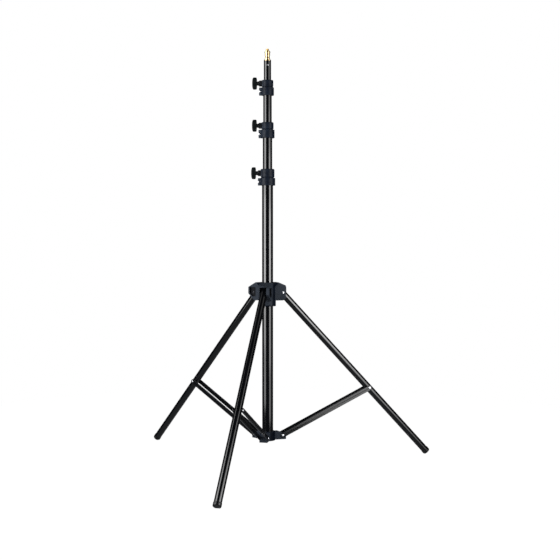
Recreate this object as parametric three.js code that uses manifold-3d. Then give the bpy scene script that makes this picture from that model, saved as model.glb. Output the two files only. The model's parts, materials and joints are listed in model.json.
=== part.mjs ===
// Telescoping lighting stand: a round column of four nested tubes on a folding three-legged base.
// A spider slides on the column, carries the legs, and each leg is tied to a fixed lower hub
// by a pair of flat brace bars. Millimetres, +Z up, floor at z = 0.

import * as THREE from 'three';
import { mergeVertices } from 'three/addons/utils/BufferGeometryUtils.js';
import Module from 'manifold-3d';

const wasm = await Module();
wasm.setup();

// ---------- driving dimensions ----------

const RUNNING_GAP = 0.3;            // between pieces that touch or turn in each other
const GUIDE_GAP = 0.4;              // between a riser and the collar it slides through
const OVERLAP = 2;                  // how deep two joined solids run into each other
const OVERSHOOT = 5;                // how far a cutter runs past what it cuts
const EDGE = 1.2;                   // chamfer on the rims of the moulded pieces
const SMALL_EDGE = 0.7;             // chamfer on the turned and rubber pieces

// Column tubes, from the outside in: outer and inner radius of each.
const BASE_TUBE = { outer: 17.5, inner: 15.5, bottom: 82, top: 915.2 };
const RISERS = [
  { outer: 15.0, inner: 13.8, bottom: 267, top: 1067.2 },
  { outer: 13.5, inner: 11.8, bottom: 400, top: 1199.7 },
  { outer: 11.5, inner: 10.0, bottom: 483, top: 1283.0 },
];

// Collars: each clamps the tube below with its lower ring and the riser above with its knob.
const COLLARS = [
  { name: 'lower_collar', bottom: 891, step: 915.5, top: 943, lowerRadius: 24.3, upperRadius: 22 },
  { name: 'middle_collar', bottom: 1040.5, step: 1067.5, top: 1090, lowerRadius: 22.2, upperRadius: 19.2 },
  { name: 'upper_collar', bottom: 1174.5, step: 1200, top: 1222, lowerRadius: 20.4, upperRadius: 18.4 },
];
const COLLAR_GROOVE = { depth: 1.8, height: 1.4 };
const KNOB_SIDE = THREE.MathUtils.degToRad(194.3);      // direction all collar knobs point
const SPIDER_KNOB_SIDE = THREE.MathUtils.degToRad(90);

// Knob and its stud, as distances beyond the surface of the ring they stand on.
const KNOB = {
  bossEnd: 7.9, bossRadius: 9.5, inner: 14.5, outer: 30, length: 37.6, width: 14.5, neckRadius: 6.2,
  corner: 3, endDrop: 3, crown: 0.9, shoulder: 0.6, coverThickness: 4.7,
};
const STUD_RADIUS = 4;
const PAD_LENGTH = 2.4;

// Pinch lug and bolt on the lower ring of each collar.
const LUG = {
  reach: 6.2, width: 12, slit: 2, corner: 2, boltAt: 3.1, boltRadius: 2.4,
  headRadius: 3.7, headHeight: 3, headCrown: 0.9,
};

// Folding base: pivots as (radius from the column axis, height).
const LEG_COUNT = 3;
const LEG_AZIMUTHS = Array.from({ length: LEG_COUNT }, (_, i) => THREE.MathUtils.degToRad(-90 + 120 * i));
const UPPER_PIVOT = { radius: 47, height: 551 };
const LOWER_PIVOT = { radius: 47, height: 92 };
const LEG_ANGLE = THREE.MathUtils.degToRad(43);         // leg from the vertical when open
const LEG = { outer: 11.5, inner: 10.0, aboveRivet: 9.5, belowPivot: 740.5, braceRivetAt: 436 };
const LEG_PLUG = { flange: 2, insert: 5.4 };
const FOOT = { radius: 12.5, length: 11, sole: 4, rounding: 2 };
const BRACE = { inside: 12.8, thickness: 2.3, halfWidth: 7.6 };
const RIVET = { radius: 2.5, headRadius: 4, headHeight: 1.7 };
const HUB_RIVET = { radius: 2.5, headRadius: 3.6, headHeight: 1.6 };
const CORNER_SLOPE = 0.8;           // rise over run of the cut corners on the cheeks
const RIVET_TIP = 0.6;              // flat tip of a rivet head, as a share of its radius

// Each arm is a fork: a thin cheek on its clockwise side, a thick cored one on its other side.
const SPIDER = {
  bottom: 508, armBottom: 526, crown: 583.5, rimHeight: 575, flare: 3.5, sleeveRadius: 26.5, crownRadius: 33,
  pocketHalfWidth: 12.2, pocketStart: 29.5, pocketTop: 569.5, knobHeight: 545,
};
const THIN_CHEEK = { outside: 16.3, reach: 56, shoulder: 574.5, corner: 9 };
const THICK_CHEEK = { outside: 21.3, reach: 66, shoulder: 568.5, corner: 26 };
const RECESS = { depth: 5.6, start: 33, end: 59.5, bottom: 538, top: 567.5, corner: 12 };
const LOWER_HUB = {
  bottom: 77, top: 106, sleeveRadius: 24.5, armBottom: 79, armTop: 104, armHalfWidth: 12.4,
  shoulder: 34.5, armReach: 58, tipTop: 95, corner: 2,
};
const BASE_PLUG = { bottom: 78.2, flangeTop: 81.7, flangeRadius: 17.2, insertTop: 98 };
const BUSH = { flange: 3.2, insert: 16 };

// Top spigot: a grooved cylinder with a threaded stud.
const SPIGOT = {
  insertBottom: 1246, bodyRadius: 8, grooveRadius: 6.9, grooveBottom: 1293, grooveTop: 1297.5,
  flangeRadius: 11.3, flangeTop: 1285.8,
  shoulderBottom: 1307, shoulderTop: 1312.5, shoulderRadius: 8.9, neckRadius: 6.2, neckTop: 1314.8,
  studRadius: 4.76, top: 1320.6,
  screwHeight: 1269, screwStart: 3.5, screwRadius: 2, screwHeadRadius: 3.4, screwHeadHeight: 1.6,
};
const SPIGOT_SCREW_SIDE = THREE.MathUtils.degToRad(-75);

const ROUND = 24;                   // segments round a tube or ring
const SMALL = 12;                   // segments round a pin or stud
const ARC_STEPS = 4;                // steps in a rounded corner

// ---------- materials ----------

const paint = new THREE.MeshStandardMaterial({ color: 0x0b0c0e, roughness: 0.28, metalness: 0.4 });
const darkPaint = new THREE.MeshStandardMaterial({ color: 0x15171b, roughness: 0.42, metalness: 0.3 });
const plastic = new THREE.MeshStandardMaterial({ color: 0x1b1f27, roughness: 0.5, metalness: 0 });
const knobPlastic = new THREE.MeshStandardMaterial({ color: 0x15181e, roughness: 0.55, metalness: 0 });
const rubber = new THREE.MeshStandardMaterial({ color: 0x0a0a0b, roughness: 0.8, metalness: 0 });
const zinc = new THREE.MeshStandardMaterial({ color: 0xc9cbcd, roughness: 0.3, metalness: 1 });
const steel = new THREE.MeshStandardMaterial({ color: 0x8f9297, roughness: 0.35, metalness: 1 });
const brass = new THREE.MeshStandardMaterial({ color: 0xc9a24a, roughness: 0.25, metalness: 1 });
const nylon = new THREE.MeshStandardMaterial({ color: 0xd8d4c8, roughness: 0.6, metalness: 0 });

// ---------- solid helpers ----------

// A closed mesh as a solid: vertices merged, and triangles that collapse on an axis dropped.
function toSolid(geometry) {
  const bare = geometry.clone();
  bare.deleteAttribute('normal');
  bare.deleteAttribute('uv');
  const welded = mergeVertices(bare, 1e-4);
  const index = welded.index.array;
  const kept = [];
  for (let i = 0; i < index.length; i += 3) {
    const [a, b, c] = [index[i], index[i + 1], index[i + 2]];
    if (a !== b && b !== c && c !== a) kept.push(a, b, c);
  }
  const vertProperties = new Float32Array(welded.attributes.position.array);
  return new wasm.Manifold(new wasm.Mesh({ numProp: 3, vertProperties, triVerts: new Uint32Array(kept) }));
}

function toGeometry(solid) {
  const { vertProperties, triVerts } = solid.getMesh();
  const geometry = new THREE.BufferGeometry();
  geometry.setAttribute('position', new THREE.BufferAttribute(vertProperties, 3));
  geometry.setIndex(new THREE.BufferAttribute(triVerts, 1));
  geometry.computeVertexNormals();
  return geometry;
}

const join = (...pieces) => toGeometry(pieces.map(toSolid).reduce((whole, piece) => whole.add(piece)));
const cut = (body, ...tools) =>
  toGeometry(tools.map(toSolid).reduce((rest, tool) => rest.subtract(tool), toSolid(body)));
const common = (a, b) => toGeometry(toSolid(a).intersect(toSolid(b)));

// A closed profile of [radius, height] points turned about the Z axis.
function lathe(profile, segments = ROUND) {
  const points = profile.map(([radius, height]) => new THREE.Vector2(radius, height));
  return new THREE.LatheGeometry(points, segments).rotateX(Math.PI / 2);
}

function ring(outer, inner, bottom, top, segments = ROUND) {
  return lathe([[inner, bottom], [outer, bottom], [outer, top], [inner, top], [inner, bottom]], segments);
}

function disc(radius, bottom, top, segments = ROUND) {
  return lathe([[0, bottom], [radius, bottom], [radius, top], [0, top]], segments);
}

// A straight round rod between two points.
function rod(radius, from, to, segments = SMALL) {
  const along = new THREE.Vector3().subVectors(to, from);
  const geometry = new THREE.CylinderGeometry(radius, radius, along.length(), segments);
  const up = new THREE.Vector3(0, 1, 0);
  const turn = new THREE.Quaternion().setFromUnitVectors(up, along.clone().normalize());
  return geometry.applyQuaternion(turn).translate(...from.clone().lerp(to, 0.5).toArray());
}

// A rod along local X (radial) or local Y (lateral).
const radialRod = (radius, start, end, height, segments) =>
  rod(radius, new THREE.Vector3(start, 0, height), new THREE.Vector3(end, 0, height), segments);
const lateralRod = (radius, x, z, start, end, segments) =>
  rod(radius, new THREE.Vector3(x, start, z), new THREE.Vector3(x, end, z), segments);

// A plate: an outline drawn in the radial-vertical (XZ) plane, thick along Y from yLow to yHigh.
function plate(shape, yLow, yHigh, curveSegments = ARC_STEPS) {
  const settings = { depth: yHigh - yLow, bevelEnabled: false, curveSegments };
  const geometry = new THREE.ExtrudeGeometry(shape, settings);
  return geometry.rotateX(Math.PI / 2).translate(0, yHigh, 0);
}

const polygon = (points) => new THREE.Shape(points.map(([x, z]) => new THREE.Vector2(x, z)));
const box = (x0, z0, x1, z1) => polygon([[x0, z0], [x1, z0], [x1, z1], [x0, z1]]);

// A running-fit hole across Y, right through anything as wide as the spider.
function throughHole(pinRadius, x, z) {
  const reach = THICK_CHEEK.outside + OVERSHOOT;
  return lateralRod(pinRadius + RUNNING_GAP, x, z, -reach, reach);
}

function turned(geometry, azimuth) {
  return geometry.rotateZ(azimuth);
}

function addMesh(group, name, geometry, material) {
  const mesh = new THREE.Mesh(geometry, material);
  mesh.name = name;
  group.add(mesh);
}

function sector(group, azimuth) {
  const turnedGroup = new THREE.Group();
  turnedGroup.rotation.z = azimuth;
  group.add(turnedGroup);
  return turnedGroup;
}

// ---------- tubes ----------

const plainTube = ({ outer, inner, bottom, top }) => ring(outer, inner, bottom, top);

// A plug or bush: a flange under the tube's end and an insert up inside it.
function endPlug(flangeRadius, insertRadius, bottom, flangeTop, insertTop) {
  return lathe([
    [0, bottom], [flangeRadius, bottom], [flangeRadius, flangeTop],
    [insertRadius, flangeTop], [insertRadius, insertTop], [0, insertTop],
  ]);
}

// ---------- knob, stud and brake pad that stand on a ring ----------

// Outline of the T-handle seen from the side: flat inner face, full rounded ends, crowned outer face.
function handleOutline(inner, outer) {
  const { corner, endDrop, crown, shoulder } = KNOB;
  const half = KNOB.length / 2;
  const crownEnd = half - corner - 1;
  const shape = new THREE.Shape();
  shape.moveTo(inner + corner, -half);
  shape.lineTo(outer - endDrop - corner, -half);
  shape.quadraticCurveTo(outer - endDrop, -half, outer - endDrop + shoulder, -crownEnd);
  shape.quadraticCurveTo(outer + crown, 0, outer - endDrop + shoulder, crownEnd);
  shape.quadraticCurveTo(outer - endDrop, half, outer - endDrop - corner, half);
  shape.lineTo(inner + corner, half);
  shape.quadraticCurveTo(inner, half, inner, half - corner);
  shape.lineTo(inner, -half + corner);
  shape.quadraticCurveTo(inner, -half, inner + corner, -half);
  return shape;
}

function knobHandle(ringRadius) {
  const inner = ringRadius + KNOB.inner;
  const outer = ringRadius + KNOB.outer;
  const bar = plate(handleOutline(inner, outer), -KNOB.width / 2, KNOB.width / 2);
  const endRadius = KNOB.length / 2 + KNOB.shoulder;
  const roundEnds = radialRod(endRadius, inner - OVERSHOOT, outer + OVERSHOOT, 0, ROUND);
  const handle = common(bar, roundEnds);
  const neckStart = ringRadius + KNOB.bossEnd + RUNNING_GAP;
  const neck = radialRod(KNOB.neckRadius, neckStart, inner + OVERLAP, 0, ROUND);
  const bore = radialRod(STUD_RADIUS + RUNNING_GAP, ringRadius, outer - KNOB.coverThickness, 0);
  return cut(join(handle, neck), bore);
}

function addKnob(group, prefix, ringRadius, boreRadius, height) {
  const padStart = boreRadius - GUIDE_GAP + RUNNING_GAP;
  const studStart = padStart + PAD_LENGTH + RUNNING_GAP;
  const studEnd = ringRadius + KNOB.outer - KNOB.coverThickness - RUNNING_GAP;
  addMesh(group, `${prefix}_knob`, knobHandle(ringRadius).translate(0, 0, height), knobPlastic);
  addMesh(group, `${prefix}_knob_stud`, radialRod(STUD_RADIUS, studStart, studEnd, height), zinc);
  const pad = radialRod(STUD_RADIUS, padStart, padStart + PAD_LENGTH, height);
  addMesh(group, `${prefix}_brake_pad`, pad, nylon);
}

const knobBoss = (ringRadius, start, height) =>
  radialRod(KNOB.bossRadius, start, ringRadius + KNOB.bossEnd, height, ROUND);
const studBore = (ringRadius, height) =>
  radialRod(STUD_RADIUS + RUNNING_GAP, 0, ringRadius + KNOB.bossEnd + OVERSHOOT, height);

// ---------- collars ----------

const knobHeight = (collar) => (collar.step + COLLAR_GROOVE.height + collar.top) / 2;

function collarBody(collar, tubeRadius, riserRadius) {
  const { bottom, step, top, lowerRadius, upperRadius } = collar;
  const tubeBore = tubeRadius + RUNNING_GAP;
  const riserBore = riserRadius + GUIDE_GAP;
  const grooveRadius = Math.min(lowerRadius, upperRadius) - COLLAR_GROOVE.depth;
  const grooveTop = step + COLLAR_GROOVE.height;
  const body = lathe([
    [tubeBore, bottom], [lowerRadius - EDGE, bottom], [lowerRadius, bottom + EDGE],
    [lowerRadius, step - EDGE], [grooveRadius, step], [grooveRadius, grooveTop],
    [upperRadius, grooveTop + EDGE], [upperRadius, top - EDGE], [upperRadius - EDGE, top],
    [riserBore, top], [riserBore, step], [tubeBore, step], [tubeBore, bottom],
  ]);
  const lugEnd = lowerRadius + LUG.reach;
  const lugStart = tubeRadius + OVERLAP;
  const lugTop = step - EDGE;
  const lug = plate(polygon([
    [lugStart, bottom], [lugEnd - LUG.corner, bottom], [lugEnd, bottom + LUG.corner],
    [lugEnd, lugTop - LUG.corner], [lugEnd - LUG.corner, lugTop], [lugStart, lugTop],
  ]), -LUG.width / 2, LUG.width / 2);
  const slit = plate(box(
    tubeRadius - OVERSHOOT, bottom - OVERSHOOT, lugEnd + OVERSHOOT, step - EDGE,
  ), -LUG.slit / 2, LUG.slit / 2);
  const boltHole = throughHole(LUG.boltRadius, boltRadialPlace(collar), boltHeight(collar));
  const height = knobHeight(collar);
  return cut(
    join(body, lug, knobBoss(upperRadius, riserBore + EDGE, height)),
    slit, boltHole, studBore(upperRadius, height),
  );
}

const boltHeight = (collar) => (collar.bottom + collar.step) / 2 - 1;
const boltRadialPlace = (collar) => collar.lowerRadius + LUG.boltAt;

// Hex nut at the low end, plain shank, crowned round head at the high end.
function pinchBolt(collar) {
  const x = boltRadialPlace(collar);
  const z = boltHeight(collar);
  const face = LUG.width / 2 + RUNNING_GAP;
  const { headRadius, headHeight, headCrown, boltRadius } = LUG;
  return join(
    lateralRod(headRadius, x, z, -face - headHeight, -face, 6),
    lateralRod(boltRadius, x, z, -face - EDGE, face + EDGE),
    lateralRod(headRadius, x, z, face, face + headHeight - headCrown, 16),
    lateralRod(headRadius - headCrown, x, z, face, face + headHeight, 16),
  );
}

function addCollar(stand, collar, tubeRadius, riserRadius) {
  const side = sector(stand, KNOB_SIDE);
  addMesh(side, collar.name, collarBody(collar, tubeRadius, riserRadius), plastic);
  addMesh(side, `${collar.name}_pinch_bolt`, pinchBolt(collar), zinc);
  addKnob(side, collar.name, collar.upperRadius, riserRadius + GUIDE_GAP, knobHeight(collar));
}

// ---------- spider and lower hub ----------

// One side of an arm, from low to high across it: sloping top, lower outer corner cut off.
function cheek({ reach, shoulder, corner }, low, high) {
  const { armBottom, crown, crownRadius } = SPIDER;
  return plate(polygon([
    [BASE_TUBE.outer, armBottom], [reach - corner, armBottom], [reach, armBottom + corner * CORNER_SLOPE],
    [reach, shoulder], [crownRadius, crown], [BASE_TUBE.outer, crown],
  ]), low, high);
}

function spiderArm() {
  return join(cheek(THIN_CHEEK, -THIN_CHEEK.outside, OVERLAP), cheek(THICK_CHEEK, 0, THICK_CHEEK.outside));
}

function spiderPocket() {
  const { armBottom, pocketStart, pocketTop, pocketHalfWidth } = SPIDER;
  const outline = box(pocketStart, armBottom - OVERSHOOT, THICK_CHEEK.reach + OVERSHOOT, pocketTop);
  return plate(outline, -pocketHalfWidth, pocketHalfWidth);
}

// The core taken out of the thick cheek from outside, where the pivot rivet is closed.
function spiderRecess() {
  const { depth, start, end, bottom, top, corner } = RECESS;
  return plate(polygon([
    [start, bottom], [end - corner, bottom], [end, bottom + corner * CORNER_SLOPE], [end, top], [start, top],
  ]), THICK_CHEEK.outside - depth, THICK_CHEEK.outside + OVERSHOOT);
}

function spiderCasting() {
  const { bottom, crown, rimHeight, flare, sleeveRadius, crownRadius, knobHeight: knobZ } = SPIDER;
  const sleeve = lathe([
    [0, bottom], [sleeveRadius - EDGE, bottom], [sleeveRadius, bottom + EDGE],
    [sleeveRadius, rimHeight - flare], [crownRadius, rimHeight + flare], [crownRadius, crown], [0, crown],
  ]);
  const arms = LEG_AZIMUTHS.map((azimuth) => turned(spiderArm(), azimuth));
  const pockets = LEG_AZIMUTHS.map((azimuth) => turned(spiderPocket(), azimuth));
  const recesses = LEG_AZIMUTHS.map((azimuth) => turned(spiderRecess(), azimuth));
  const pinHoles = LEG_AZIMUTHS.map((azimuth) => turned(
    throughHole(HUB_RIVET.radius, UPPER_PIVOT.radius, UPPER_PIVOT.height), azimuth));
  const boss = turned(knobBoss(sleeveRadius, BASE_TUBE.outer + OVERLAP, knobZ), SPIDER_KNOB_SIDE);
  const bore = disc(BASE_TUBE.outer + GUIDE_GAP, bottom - OVERSHOOT, crown + OVERSHOOT);
  const knobBore = turned(studBore(sleeveRadius, knobZ), SPIDER_KNOB_SIDE);
  return cut(join(sleeve, ...arms, boss), bore, knobBore, ...pockets, ...recesses, ...pinHoles);
}

function lowerHubArm() {
  const { armBottom, armTop, armHalfWidth, shoulder, armReach, tipTop, corner } = LOWER_HUB;
  const root = BASE_TUBE.outer + OVERLAP;
  return plate(polygon([
    [root, armBottom], [armReach - corner, armBottom], [armReach, armBottom + corner],
    [armReach, tipTop - corner], [armReach - corner, tipTop], [shoulder, armTop], [root, armTop],
  ]), -armHalfWidth, armHalfWidth);
}

function lowerHub() {
  const { bottom, top, sleeveRadius } = LOWER_HUB;
  const sleeve = lathe([
    [0, bottom], [sleeveRadius - EDGE, bottom], [sleeveRadius, bottom + EDGE],
    [sleeveRadius, top - EDGE], [sleeveRadius - EDGE, top], [0, top],
  ]);
  const arms = LEG_AZIMUTHS.map((azimuth) => turned(lowerHubArm(), azimuth));
  const pinHoles = LEG_AZIMUTHS.map((azimuth) => turned(
    throughHole(RIVET.radius, LOWER_PIVOT.radius, LOWER_PIVOT.height), azimuth));
  const bore = disc(BASE_TUBE.outer + RUNNING_GAP, bottom - OVERSHOOT, top + OVERSHOOT);
  return cut(join(sleeve, ...arms), bore, ...pinHoles);
}

// ---------- legs and braces ----------

// A rivet across Y with a domed head at each end, seated just outside the faces at low and high.
function throughRivet({ radius, headRadius, headHeight }, low, high) {
  const start = low - RUNNING_GAP;
  const end = high + RUNNING_GAP;
  const tip = headRadius * RIVET_TIP;
  return lathe([
    [0, start - headHeight], [tip, start - headHeight], [headRadius, start],
    [radius, start], [radius, end], [headRadius, end], [tip, end + headHeight], [0, end + headHeight],
  ], SMALL).rotateX(-Math.PI / 2);
}

// One head with a short shank that ends inside the bar, so nothing crosses the hub's ear.
function shortRivet(side) {
  const { radius, headRadius, headHeight } = RIVET;
  const shankEnd = BRACE.inside + RUNNING_GAP;
  const seat = BRACE.inside + BRACE.thickness + RUNNING_GAP;
  const rivet = lathe([
    [0, shankEnd], [radius, shankEnd], [radius, seat], [headRadius, seat],
    [headRadius * RIVET_TIP, seat + headHeight], [0, seat + headHeight],
  ], SMALL);
  return rivet.rotateX(-side * Math.PI / 2);
}

function legTube() {
  const { outer, inner, aboveRivet, belowPivot, braceRivetAt } = LEG;
  return cut(
    plainTube({ outer, inner, bottom: -belowPivot, top: aboveRivet }),
    throughHole(HUB_RIVET.radius, 0, 0),
    throughHole(RIVET.radius, 0, -braceRivetAt),
  );
}

// A cup over the leg's lower end, trimmed flat where it stands on the floor.
function footCap(legMatrix) {
  const { radius, length, sole, rounding } = FOOT;
  const end = -(LEG.belowPivot + RUNNING_GAP + sole);
  const mouth = end + length;
  const wallInside = LEG.outer + RUNNING_GAP / 2;
  const cup = lathe([
    [0, end], [radius - rounding, end], [radius - SMALL_EDGE, end + SMALL_EDGE], [radius, end + rounding],
    [radius, mouth], [wallInside, mouth], [wallInside, end + sole], [0, end + sole],
  ]);
  const block = 4 * length;
  const footRadius = UPPER_PIVOT.radius - end * Math.sin(LEG_ANGLE);
  const floor = new THREE.BoxGeometry(block, block, block).translate(footRadius, 0, -block / 2);
  return cut(cup.applyMatrix4(legMatrix), floor);
}

function braceBar(length) {
  const { inside, thickness, halfWidth } = BRACE;
  const shape = new THREE.Shape();
  shape.absarc(0, 0, halfWidth, 0, Math.PI, false);
  shape.lineTo(-halfWidth, -length);
  shape.absarc(0, -length, halfWidth, Math.PI, 2 * Math.PI, false);
  shape.lineTo(halfWidth, 0);
  return cut(
    plate(shape, inside, inside + thickness, 2 * ARC_STEPS),
    throughHole(RIVET.radius, 0, 0),
    throughHole(RIVET.radius, 0, -length),
  );
}

function addLeg(stand, number, azimuth) {
  const side = sector(stand, azimuth);

  const leg = new THREE.Group();
  leg.position.set(UPPER_PIVOT.radius, 0, UPPER_PIVOT.height);
  leg.rotation.y = -LEG_ANGLE;
  leg.updateMatrix();
  side.add(leg);
  const plugTop = LEG.aboveRivet + RUNNING_GAP + LEG_PLUG.flange;
  const plug = endPlug(LEG.outer, LEG.inner - RUNNING_GAP, -plugTop, -LEG.aboveRivet - RUNNING_GAP,
    -LEG.aboveRivet + LEG_PLUG.insert);
  addMesh(leg, `leg_${number}_tube`, legTube(), paint);
  addMesh(leg, `leg_${number}_top_plug`, plug.rotateX(Math.PI), plastic);
  addMesh(side, `leg_${number}_foot_cap`, footCap(leg.matrix), rubber);

  const pivotRivet = throughRivet(HUB_RIVET, -THIN_CHEEK.outside, THICK_CHEEK.outside - RECESS.depth);
  addMesh(side, `leg_${number}_pivot_rivet`,
    pivotRivet.translate(UPPER_PIVOT.radius, 0, UPPER_PIVOT.height), zinc);
  const braceOutside = BRACE.inside + BRACE.thickness;
  const braceRivet = throughRivet(RIVET, -braceOutside, braceOutside);
  addMesh(leg, `leg_${number}_brace_rivet`, braceRivet.translate(0, 0, -LEG.braceRivetAt), zinc);

  const brace = new THREE.Group();
  const rivetRadius = UPPER_PIVOT.radius + LEG.braceRivetAt * Math.sin(LEG_ANGLE);
  const rivetHeight = UPPER_PIVOT.height - LEG.braceRivetAt * Math.cos(LEG_ANGLE);
  const run = rivetRadius - LOWER_PIVOT.radius;
  const drop = rivetHeight - LOWER_PIVOT.height;
  const length = Math.hypot(run, drop);
  brace.position.set(rivetRadius, 0, rivetHeight);
  brace.rotation.y = Math.atan2(run, drop);
  side.add(brace);
  for (const [label, sign] of [['left', 1], ['right', -1]]) {
    const bar = braceBar(length);
    if (sign < 0) bar.translate(0, -2 * BRACE.inside - BRACE.thickness, 0);
    addMesh(brace, `brace_${number}_${label}_bar`, bar, darkPaint);
    addMesh(brace, `brace_${number}_${label}_rivet`, shortRivet(sign).translate(0, 0, -length), zinc);
  }
}

// ---------- top spigot ----------

const screwHole = (start) =>
  radialRod(SPIGOT.screwRadius + RUNNING_GAP, start, RISERS[2].outer + OVERSHOOT, SPIGOT.screwHeight);

function spigot() {
  const s = SPIGOT;
  const insertRadius = RISERS[2].inner - RUNNING_GAP;
  const seat = RISERS[2].top + RUNNING_GAP;
  const edge = SMALL_EDGE;
  const body = lathe([
    [0, s.insertBottom], [insertRadius - edge, s.insertBottom], [insertRadius, s.insertBottom + edge],
    [insertRadius, seat], [s.flangeRadius, seat], [s.flangeRadius, s.flangeTop],
    [s.bodyRadius, s.flangeTop + edge], [s.bodyRadius, s.grooveBottom - edge],
    [s.grooveRadius, s.grooveBottom], [s.grooveRadius, s.grooveTop],
    [s.bodyRadius, s.grooveTop + edge], [s.bodyRadius, s.shoulderBottom],
    [s.shoulderRadius, s.shoulderBottom + edge], [s.shoulderRadius, s.shoulderTop - edge],
    [s.shoulderRadius - edge, s.shoulderTop], [s.neckRadius, s.shoulderTop], [s.neckRadius, s.neckTop],
    [s.studRadius, s.neckTop], [s.studRadius, s.top - edge], [s.studRadius - edge, s.top], [0, s.top],
  ]);
  return cut(body, screwHole(s.screwStart - RUNNING_GAP));
}

function spigotScrew() {
  const s = SPIGOT;
  const seat = RISERS[2].outer + RUNNING_GAP;
  return join(
    radialRod(s.screwRadius, s.screwStart, seat + s.screwHeadHeight / 2, s.screwHeight),
    radialRod(s.screwHeadRadius, seat, seat + s.screwHeadHeight, s.screwHeight),
  );
}

// ---------- the whole stand ----------

function buildColumn(stand) {
  addMesh(stand, 'base_tube', plainTube(BASE_TUBE), paint);
  addMesh(stand, 'lower_hub', lowerHub(), plastic);
  addMesh(stand, 'base_plug', endPlug(BASE_PLUG.flangeRadius, BASE_TUBE.inner - RUNNING_GAP,
    BASE_PLUG.bottom, BASE_PLUG.flangeTop, BASE_PLUG.insertTop), plastic);
}

function buildRisers(stand) {
  const outerTubes = [BASE_TUBE, ...RISERS];
  RISERS.forEach((riser, i) => {
    const holder = outerTubes[i];
    const tube = plainTube(riser);
    const isTop = i === RISERS.length - 1;
    const drilled = () => cut(tube, turned(screwHole(0), SPIGOT_SCREW_SIDE));
    addMesh(stand, `riser_${i + 1}_tube`, isTop ? drilled() : tube, paint);
    const seat = riser.bottom - RUNNING_GAP;
    const bush = endPlug(holder.inner - RUNNING_GAP, riser.inner - RUNNING_GAP,
      seat - BUSH.flange, seat, riser.bottom + BUSH.insert);
    addMesh(stand, `riser_${i + 1}_guide_bush`, bush, nylon);
    addCollar(stand, COLLARS[i], holder.outer, riser.outer);
  });
}

function buildSpider(stand) {
  addMesh(stand, 'spider', spiderCasting(), plastic);
  addKnob(sector(stand, SPIDER_KNOB_SIDE), 'spider', SPIDER.sleeveRadius, BASE_TUBE.outer + GUIDE_GAP,
    SPIDER.knobHeight);
}

function buildSpigot(stand) {
  const side = sector(stand, SPIGOT_SCREW_SIDE);
  addMesh(side, 'spigot', spigot(), brass);
  addMesh(side, 'spigot_screw', spigotScrew(), steel);
}

const stand = new THREE.Group();
buildColumn(stand);
buildRisers(stand);
buildSpider(stand);
buildSpigot(stand);
LEG_AZIMUTHS.forEach((azimuth, i) => addLeg(stand, i + 1, azimuth));

// The origin is the bottom centre of the whole stand's box.
const bounds = new THREE.Box3().setFromObject(stand, true);
const centre = bounds.getCenter(new THREE.Vector3());
stand.position.set(-centre.x, -centre.y, -bounds.min.z);
stand.updateMatrixWorld(true);

export default stand;
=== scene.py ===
"""Looks for the telescoping lighting stand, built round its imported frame.

Every visible part is modelled again as a fine mesh in millimetres, in a local frame whose place comes
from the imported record's joints and from the boxes of its nodes, and then stands for the plain node.
"""

import json
import math

import bmesh
import bpy
from mathutils import Matrix, Vector


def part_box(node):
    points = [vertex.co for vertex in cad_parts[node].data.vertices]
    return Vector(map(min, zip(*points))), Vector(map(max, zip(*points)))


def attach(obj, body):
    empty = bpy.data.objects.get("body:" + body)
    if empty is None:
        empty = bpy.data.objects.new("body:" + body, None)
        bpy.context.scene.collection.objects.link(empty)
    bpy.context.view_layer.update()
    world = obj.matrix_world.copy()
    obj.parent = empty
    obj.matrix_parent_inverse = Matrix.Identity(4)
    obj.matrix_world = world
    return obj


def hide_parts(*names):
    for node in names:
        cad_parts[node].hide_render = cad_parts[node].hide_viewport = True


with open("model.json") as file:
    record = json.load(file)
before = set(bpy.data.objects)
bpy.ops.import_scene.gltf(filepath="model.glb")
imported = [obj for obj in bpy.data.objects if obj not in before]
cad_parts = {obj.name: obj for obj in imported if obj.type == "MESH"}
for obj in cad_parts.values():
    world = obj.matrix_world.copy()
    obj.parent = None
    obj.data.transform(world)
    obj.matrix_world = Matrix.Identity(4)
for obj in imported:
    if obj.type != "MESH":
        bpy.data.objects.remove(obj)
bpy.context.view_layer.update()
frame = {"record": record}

MM = 0.001
UP = Vector((0, 0, 1))
JOINTS = {joint["name"]: joint for joint in frame["record"]["behaviour"]["joints"]}
SECTORS = (1, 2, 3)

ROUND = 96              # segments round a tube or ring
SMALL = 48              # segments round a pin, rivet or stud
CORNER = 5              # steps in a rounded corner
TUBE_LIP = 0.35         # rounding of a tube's rims, mm
FIT = 0.15              # clearance kept between neighbouring visible pieces, mm


# ---------------------------------------------------------------- places

def node_box(node):
    """A node's box in millimetres."""
    low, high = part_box(node)
    return Vector(low) / MM, Vector(high) / MM


def box_centre(node):
    low, high = node_box(node)
    return (low + high) / 2


AXIS = box_centre("base_tube")
AXIS.z = 0.0


def joint_place(name):
    """A joint's point in millimetres and its axis."""
    joint = JOINTS[name]
    return Vector(joint["pos_m"]) / MM, Vector(joint["axis"])


def basis(origin, x_axis, z_axis):
    """Local millimetres to world metres: x along x_axis, z along z_axis, y completes the right hand."""
    z = z_axis.normalized()
    x = (x_axis - x_axis.dot(z) * z).normalized()
    y = z.cross(x)
    turn = Matrix((x, y, z)).transposed().to_4x4()
    return Matrix.Scale(MM, 4) @ Matrix.Translation(origin) @ turn


COLUMN = basis(AXIS, Vector((1, 0, 0)), UP)


def outward(point):
    """Unit vector from the column's axis to a point, level with the floor."""
    away = Vector((point.x - AXIS.x, point.y - AXIS.y, 0))
    return away.normalized()


# ---------------------------------------------------------------- mesh code

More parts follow.
